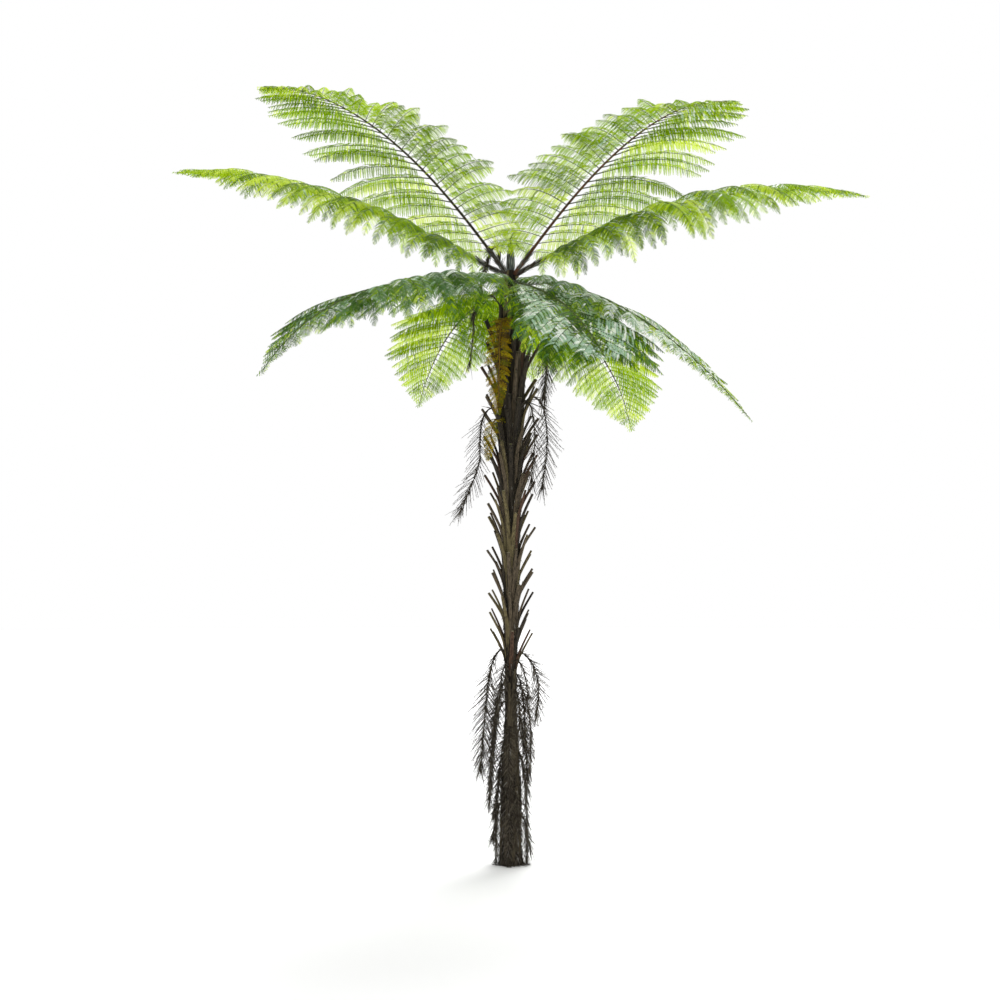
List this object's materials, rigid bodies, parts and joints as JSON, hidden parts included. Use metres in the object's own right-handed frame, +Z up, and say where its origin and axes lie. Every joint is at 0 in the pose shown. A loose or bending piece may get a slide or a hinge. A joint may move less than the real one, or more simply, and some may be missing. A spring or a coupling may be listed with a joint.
{
  "type": "tree fern",
  "caption": "Upright tree fern: slender trunk clad in old frond bases, a crown of arching feathery fronds round a young spear, dead fronds hanging down.",
  "frame": {"origin": "centre of the flat cut under the trunk, at ground level", "axes": "+Z up the trunk, +X to the right and -Y towards a viewer who sees the two raised fronds spread left and right"},
  "size_m": [4.5398, 3.5176, 4.5336],
  "materials": {
    "bark": "matt, dark brown-olive fibrous bark clad in old frond bases",
    "spear_scales": "matt grey scales on the unopened crozier",
    "frond_stalk": "satin, grey-brown to reddish brown stalk",
    "leaf_light": "satin yellow-green leaflets that let light through",
    "leaf_dark": "satin dark green upper side with a bluish sheen",
    "leaf_dying": "matt ochre yellow dying leaflets",
    "leaf_dead": "matt grey-brown dry threads"
  },
  "bodies": {
    "root": {"crown_spear": "spear_scales", "dead_frond_crown": "leaf_dead", "dead_frond_left": "leaf_dead", "dead_frond_left_high": "leaf_dead", "dead_frond_right_high": "leaf_dead", "dead_frond_right_inner": "leaf_dead", "dead_frond_right_outer": "leaf_dead", "dry_stalk": "leaf_dead", "dying_frond_high": "leaf_dying", "dying_frond_low": "leaf_dying", "frond_back_inner": "leaf_light", "frond_back_left_inner": "leaf_light", "frond_back_left_outer": "leaf_light", "frond_back_left_stalk": "frond_stalk", "frond_back_outer": "leaf_light", "frond_back_right_inner": "leaf_light", "frond_back_right_outer": "leaf_light", "frond_back_right_stalk": "frond_stalk", "frond_back_stalk": "frond_stalk", "frond_front_inner": "leaf_dark", "frond_front_left_inner": "leaf_dark", "frond_front_left_outer": "leaf_dark", "frond_front_left_stalk": "frond_stalk", "frond_front_outer": "leaf_dark", "frond_front_right_inner": "leaf_dark", "frond_front_right_outer": "leaf_dark", "frond_front_right_stalk": "frond_stalk", "frond_front_stalk": "frond_stalk", "frond_left_inner": "leaf_light", "frond_left_outer": "leaf_light", "frond_left_stalk": "frond_stalk", "frond_right_inner": "leaf_light", "frond_right_outer": "leaf_light", "frond_right_stalk": "frond_stalk", "frond_upper_left_inner": "leaf_light", "frond_upper_left_outer": "leaf_light", "frond_upper_left_stalk": "frond_stalk", "frond_upper_right_inner": "leaf_light", "frond_upper_right_outer": "leaf_light", "frond_upper_right_stalk": "frond_stalk", "skirt_frond_back": "leaf_dead", "skirt_frond_back_foot": "leaf_dead", "skirt_frond_back_left": "leaf_dead", "skirt_frond_back_right": "leaf_dead", "skirt_frond_front_foot": "leaf_dead", "skirt_frond_front_high": "leaf_dead", "skirt_frond_left_foot": "leaf_dead", "skirt_frond_left_inner": "leaf_dead", "skirt_frond_left_outer": "leaf_dead", "skirt_frond_right_foot": "leaf_dead", "skirt_frond_right_middle": "leaf_dead", "skirt_frond_right_outer": "leaf_dead", "trunk": "bark"}
  },
  "joints": []
}
